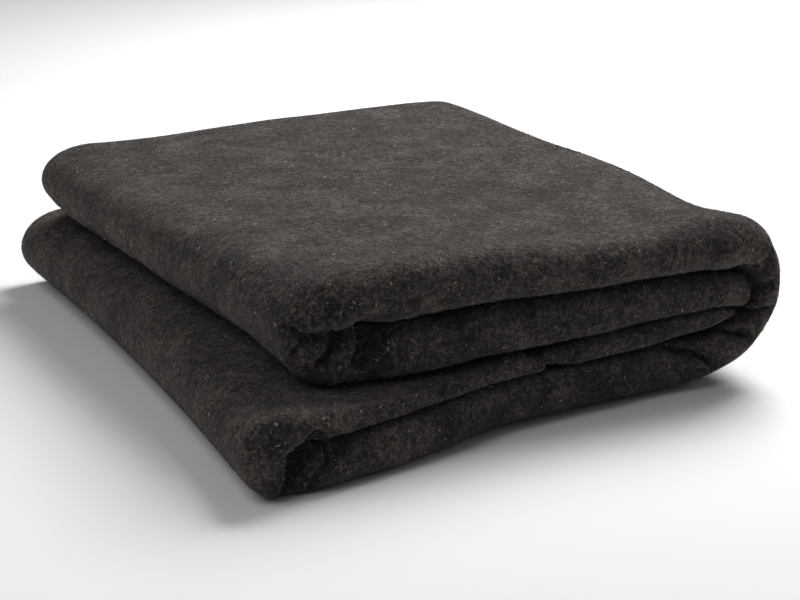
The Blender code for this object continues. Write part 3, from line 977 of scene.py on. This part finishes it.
def open_quads():
    """The grid's quads that lie open: corner points, outward normal, area and zone of each.

    The outer side of the strip is face B. Where the lower flap's inner plies stand free at the
    front, face A is the one that shows.
    """
    kind = KIND[:-1]
    at_front = SHARE[:-1] < 0.01
    stretch = STRETCH[:-1, None]
    x = FACE_B[:-1, :-1, 0]
    y = FACE_B[:-1, :-1, 1]
    flat = (kind == OUTER_PLY) & (SIDE[:-1] > 0)
    ledge = flat & (stretch == "lower flap") & ((x < LEDGE[0]) | (y < LEDGE[1]))
    fold = (kind == FRONT_FOLD) | (flat & (SHARE[:-1] < 0.02))
    zone = np.full(x.shape, -1)
    zone[(kind == BACK_FOLD) & (stretch != "bottom band")] = SPINE_AND_BACK
    zone[flat & (stretch == "spine")] = SPINE_AND_BACK
    zone[(flat & np.isin(stretch, ("lower turn", "upper turn"))) | ledge] = LEFT
    zone[flat & (stretch == "top band")] = TOP
    zone[fold & (stretch != "bottom band")] = FRONT_FOLDS
    zone[(kind == FRONT_FOLD) & (stretch == "bottom band")] = FRONT_FOLDS
    pair = (kind == INNER_FOLD) | ((kind == INNER_PLY) & at_front)
    pair = pair & (stretch == "lower flap") & (x > UPPER_END[0])
    found = []
    for face, chosen, sign in ((FACE_B, zone >= 0, -1.0), (FACE_A, pair, 1.0)):
        corners = np.stack((face[:-1, :-1], face[1:, :-1], face[1:, 1:], face[:-1, 1:]), axis=2)[chosen]
        normal = sign * np.cross(corners[:, 2] - corners[:, 0], corners[:, 3] - corners[:, 1]) / 2
        area = np.linalg.norm(normal, axis=1)
        zones = zone[chosen] if sign < 0 else np.full(len(corners), FRONT_FOLDS)
        found.append((corners, normal / np.maximum(area, 1e-9)[:, None], area, zones))
    return [np.concatenate(parts) for parts in zip(*found)]


CORNERS, NORMALS, AREAS, ZONES = open_quads()
print("open cloth:", round(float(AREAS.sum()) * 1e-6, 3), "square metres in", len(AREAS), "quads")


# %% Roots and bodies
LOWEST = 0.15                  # height under which no hair reaches


def plant(count, zones, rng):
    """Random places on the open quads of some zones, as many per area everywhere: each one's
    point, outward normal and a random direction along the cloth."""
    share = AREAS * np.isin(ZONES, zones)
    quad = rng.choice(len(AREAS), size=count, p=share / share.sum())
    s, t = rng.random((2, count, 1))
    c = CORNERS[quad]
    root = (c[:, 0] * (1 - s) + c[:, 1] * s) * (1 - t) + (c[:, 3] * (1 - s) + c[:, 2] * s) * t
    normal = NORMALS[quad]
    along_cloth = np.cross(normal, rng.normal(size=(count, 3)))
    along_cloth /= np.linalg.norm(along_cloth, axis=1, keepdims=True)
    return root, normal, along_cloth


def joined_mesh(name, points, faces, shades, slots):
    """One mesh of many small closed bodies, with a shade of wool for each of its faces."""
    points = points.copy()
    points[:, 2] = np.maximum(points[:, 2], LOWEST)
    mesh = bpy.data.meshes.new(name)
    mesh.vertices.add(len(points))
    mesh.vertices.foreach_set("co", to_part(points).astype(np.float32).ravel())
    mesh.loops.add(faces.size)
    mesh.loops.foreach_set("vertex_index", faces.astype(np.int32).ravel())
    mesh.polygons.add(len(faces))
    mesh.polygons.foreach_set("loop_start", np.arange(0, faces.size, faces.shape[1], dtype=np.int32))
    mesh.polygons.foreach_set("material_index", shades.astype(np.int32))
    for material in slots:
        mesh.materials.append(material)
    mesh.update(calc_edges=True)
    mesh.shade_smooth()
    obj = bpy.data.objects.new(name, mesh)
    bpy.context.scene.collection.objects.link(obj)
    return obj


print("zones:", [int((ZONES == n).sum()) for n in range(4)], "quads")


# %% [markdown]
# Reclaimed wool comes in every shade from black to undyed, because it was spun and dyed for other
# cloth before. The felt looks grey only from afar. One grey for all hairs would look like dust, so
# there is a plain material for each of a few shades, and a whole tuft leans to one of them.

# %% Shades of wool
def wool_shade(name, colour):
    """One fibre's own colour. A fibre is dyed through, so a nap gets its pattern from the shades
    side by side, not from any one of them."""
    material = bpy.data.materials.new(name)
    material.use_nodes = True
    shader = material.node_tree.nodes["Principled BSDF"]
    shader.inputs["Base Color"].default_value = (*colour, 1.0)
    shader.inputs["Roughness"].default_value = 0.9
    shader.inputs["Specular IOR Level"].default_value = 0.2
    return material


SHADES = [
    wool_shade("black wool fibre", (0.009, 0.0076, 0.007)),
    wool_shade("charcoal wool fibre", (0.034, 0.0288, 0.0264)),
    wool_shade("grey wool fibre", (0.11, 0.093, 0.085)),
    wool_shade("pale wool fibre", (0.29, 0.248, 0.224)),
    wool_shade("undyed wool thread", (0.46, 0.40, 0.355)),
]
print("shades:", ", ".join(m.name for m in SHADES))


# %% [markdown]
# Wool mats: hairs that stand together lean the same way, are alike in shade, and stand as high. A
# texture could paint such tufts, but then the hairs' lean would know nothing of it. A sum of
# waves in random directions gives one smooth random field in space, and every hair reads it at
# its root for its shade, its length and its lean.

# %% Tufts
TUFT = (5.0, 45.0)             # shortest and longest wave of the field
TUFT_WAVES = 36
TUFT_NOISE = 0.2               # how much single hairs differ from their tuft
SIDES = np.radians((0, 120, 240))      # corners of a hair or thread, seen along it


def tufts(root, seed):
    """Wool mats in tufts. A field from 0 to 1, even in its shares, that is alike for hairs within
    a few millimetres: the rank of a sum of cosines in random directions in space."""
    rng = np.random.default_rng(seed)
    way = rng.normal(size=(3, TUFT_WAVES))
    way /= np.linalg.norm(way, axis=0)
    size = TUFT[0] * (TUFT[1] / TUFT[0]) ** rng.random(TUFT_WAVES)
    turns = root @ (way * math.tau / size) + rng.uniform(0, math.tau, TUFT_WAVES)
    field = np.cos(turns).sum(axis=1) / math.sqrt(TUFT_WAVES / 2)
    field = field + rng.normal(size=len(root)) * TUFT_NOISE
    return np.argsort(np.argsort(field)) / len(root)


print("a tuft is", TUFT[0] / 2, "to", TUFT[1] / 2, "mm wide")


# %% Hairs
HAIR = (0.5, 1.2)              # shortest and longest, before their tuft makes them more or less
HAIR_IN_TUFT = 0.6             # share of that in the shortest tuft. In the longest it is 1 more
HAIR_ROOT = 0.16               # half width at the root, on average
HAIR_WIDE = (0.6, 1.3)         # share of that on the thinnest and the thickest hair
ROOT_DEEP = 0.25               # how far the root stands in the felt
LEAN = (25.0, 75.0)            # degrees from upright
STRAY_LEAN = 0.12              # how much single hairs lean another way than their tuft
SHADE_SHARES = (0.34, 0.27, 0.23, 0.16)        # share of each shade, darkest first


def hairs(name, count, zones, seed):
    """A nap: each hair is a pyramid on a triangle, its tip at root + length * direction. The
    direction leans from the normal by a random angle, and the way it leans is alike within a tuft,
    as hands and other cloth have brushed it."""
    rng = np.random.default_rng(seed)
    root, normal, stray = plant(count, zones, rng)
    brushed = np.stack([tufts(root, seed + n) for n in (100, 200, 300)], axis=1) - 0.5
    along_cloth = brushed - normal * (brushed * normal).sum(axis=1, keepdims=True)
    along_cloth = along_cloth + STRAY_LEAN * stray
    along_cloth /= np.linalg.norm(along_cloth, axis=1, keepdims=True)
    lean = np.radians(rng.uniform(*LEAN, (count, 1)))
    way = normal * np.cos(lean) + along_cloth * np.sin(lean)
    tuft = tufts(root, seed)
    length = rng.uniform(*HAIR, (count, 1)) * (HAIR_IN_TUFT + tuft[:, None])
    wide = HAIR_ROOT * rng.uniform(*HAIR_WIDE, (count, 1))
    a = np.cross(way, normal)
    a /= np.linalg.norm(a, axis=1, keepdims=True)
    b = np.cross(way, a)
    base = root - normal * ROOT_DEEP
    ring = [base + wide * (math.cos(t) * a + math.sin(t) * b) for t in SIDES]
    points = np.stack((*ring, root + way * length), axis=1).reshape(-1, 3)
    first = 4 * np.arange(count)[:, None, None]
    faces = (first + np.array(((0, 1, 3), (1, 2, 3), (2, 0, 3), (2, 1, 0)))).reshape(-1, 3)
    shade = np.repeat(np.searchsorted(np.cumsum(SHADE_SHARES)[:-1], tuft), 4)
    return joined_mesh(name, points, faces, shade, SHADES[:4])


NAP = [
    hairs("nap_top", 47000, (TOP,), 11),
    hairs("nap_left", 47000, (LEFT,), 12),
    hairs("nap_front", 47000, (FRONT_FOLDS,), 13),
    hairs("nap_spine", 40000, (SPINE_AND_BACK,), 14),
]
print("hairs:", [len(o.data.polygons) // 4 for o in NAP])


# %% [markdown]
# Here and there a thread of the old cloth was not torn apart. It lies on the felt as a pale curl,
# thicker than a hair, and catches the light as a fleck. A curve with a bevel would give one such
# thread, but each would be an object of its own. Here all are tubes of three sides in one mesh.

# %% Pale curls
CURL_LONG = (0.8, 2.8)         # shortest and longest
CURL_BEND = 0.4                # most bend aside, as a share of the length
CURL_UP = (0.15, 0.35)         # height over the felt: always, and how much more in the middle
CURL_WIDE = (0.15, 0.42)       # half width in the middle
CURL_END = 0.45                # half width at the ends, as a share of that
CURL_SHADES = (0.6, 0.4)       # share of the pale and of the undyed ones
RINGS = 5


def curls(name, count, seed):
    """Short pale threads. Each is a bent tube of three sides that lies on the cloth, where s runs
    from 0 to 1 along it: root + along * length * (s - 1/2) + aside * bend * sin(pi s) + up."""
    rng = np.random.default_rng(seed)
    root, normal, t = plant(count, (TOP, LEFT, FRONT_FOLDS, SPINE_AND_BACK), rng)
    m = np.cross(normal, t)
    s = np.linspace(0, 1, RINGS)[None, :, None]
    bow = np.sin(np.pi * s)
    length = rng.uniform(*CURL_LONG, (count, 1, 1))
    bend = rng.uniform(-CURL_BEND, CURL_BEND, (count, 1, 1)) * length
    rise = CURL_UP[0] + CURL_UP[1] * bow * rng.random((count, 1, 1))
    line = root[:, None] + t[:, None] * length * (s - 0.5) + m[:, None] * bend * bow
    line = line + normal[:, None] * rise
    wide = rng.uniform(*CURL_WIDE, (count, 1, 1)) * (CURL_END + (1 - CURL_END) * bow)
    ahead = np.gradient(line, axis=1)
    ahead /= np.linalg.norm(ahead, axis=2, keepdims=True)
    a = np.cross(ahead, normal[:, None])
    a /= np.linalg.norm(a, axis=2, keepdims=True)
    b = np.cross(ahead, a)
    ring = [line + wide * (math.cos(q) * a + math.sin(q) * b) for q in SIDES]
    points = np.stack(ring, axis=2).reshape(-1, 3)
    k = 3 * np.arange(RINGS - 1)[:, None]
    q = np.arange(3)[None, :]
    here = k + q
    after = k + (q + 1) % 3
    sides = np.stack((here, after, after + 3, here, after + 3, here + 3), axis=-1).reshape(-1, 3)
    last = 3 * (RINGS - 1)
    body = np.concatenate((sides, ((2, 1, 0), (last, last + 1, last + 2))))
    faces = (3 * RINGS * np.arange(count)[:, None, None] + body).reshape(-1, 3)
    shade = np.repeat(rng.choice(2, size=count, p=CURL_SHADES), len(body))
    return joined_mesh(name, points, faces, shade, SHADES[3:])


CURLS = curls("pale_curls", 1300, 21)
print("triangles in hairs and curls:", sum(len(o.data.polygons) for o in (*NAP, CURLS)))

# %% [markdown]
# The cloth, its nap and its curls ride on the part's one body, and the cloth stands for the
# imported solid, which is hidden.

# %% Tie the cloth to the frame
for piece in (blanket_cloth, *NAP, CURLS):
    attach(piece, "root")
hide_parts("blanket")

# %% [markdown]
# The studio is a pale floor that runs out of sight, one large soft light above the right rear
# corner, and two weak ones: from the left, and low down from the right. Light from behind grazes
# the nap on top and leaves the front folds dark, which is how dark felt shows its thickness. The
# weak ones keep the rounded left ends and the buckles of the spine readable. One light from the
# front would be simpler, but it would flatten every fold.

# %% Floor and lights
FLOOR_COLOUR = (0.92, 0.92, 0.915)
FLOOR_HALF = 6.0               # metres from its middle to its edge
AIR_GLOW = 0.08                # strength of the even light from all sides
# Each light: name, where it is, what it faces, its side (all in metres) and its watts
LIGHTS = (
    ("large soft light", (1.05, 0.6, 1.32), (0.0, 0.0, 0.05), 1.0, 42.5),
    ("light from the left", (-0.95, -0.2, 1.2), (0.0, 0.0, 0.05), 1.0, 6.5),
    ("low light from the right", (1.4, -0.5, 0.4), (0.15, -0.1, 0.05), 0.8, 1.5),
)


def make_floor():
    """A wide plain floor at height zero."""
    corners = [(x * FLOOR_HALF, y * FLOOR_HALF, 0) for x, y in ((-1, -1), (1, -1), (1, 1), (-1, 1))]
    mesh = bpy.data.meshes.new("studio_floor")
    mesh.from_pydata(corners, [], [(0, 1, 2, 3)])
    floor = bpy.data.objects.new("studio_floor", mesh)
    material = bpy.data.materials.new("pale floor")
    material.use_nodes = True
    shader = material.node_tree.nodes["Principled BSDF"]
    shader.inputs["Base Color"].default_value = (*FLOOR_COLOUR, 1.0)
    shader.inputs["Roughness"].default_value = 0.8
    mesh.materials.append(material)
    bpy.context.scene.collection.objects.link(floor)
    return floor


def soft_light(name, at, aim, size, power):
    """A square area light at one point, turned to face another."""
    data = bpy.data.lights.new(name, "AREA")
    data.shape = "SQUARE"
    data.size = size
    data.energy = power
    light = bpy.data.objects.new(name, data)
    light.location = at
    light.rotation_mode = "QUATERNION"
    light.rotation_quaternion = (Vector(aim) - Vector(at)).to_track_quat("-Z", "Y")
    bpy.context.scene.collection.objects.link(light)
    return light


bpy.context.scene.view_settings.view_transform = "Standard"
floor = make_floor()
for light in LIGHTS:
    soft_light(*light)
world = bpy.data.worlds.new("studio air")
world.use_nodes = True
glow = world.node_tree.nodes["Background"]
glow.inputs["Color"].default_value = (1.0, 1.0, 1.0, 1.0)
glow.inputs["Strength"].default_value = AIR_GLOW
bpy.context.scene.world = world
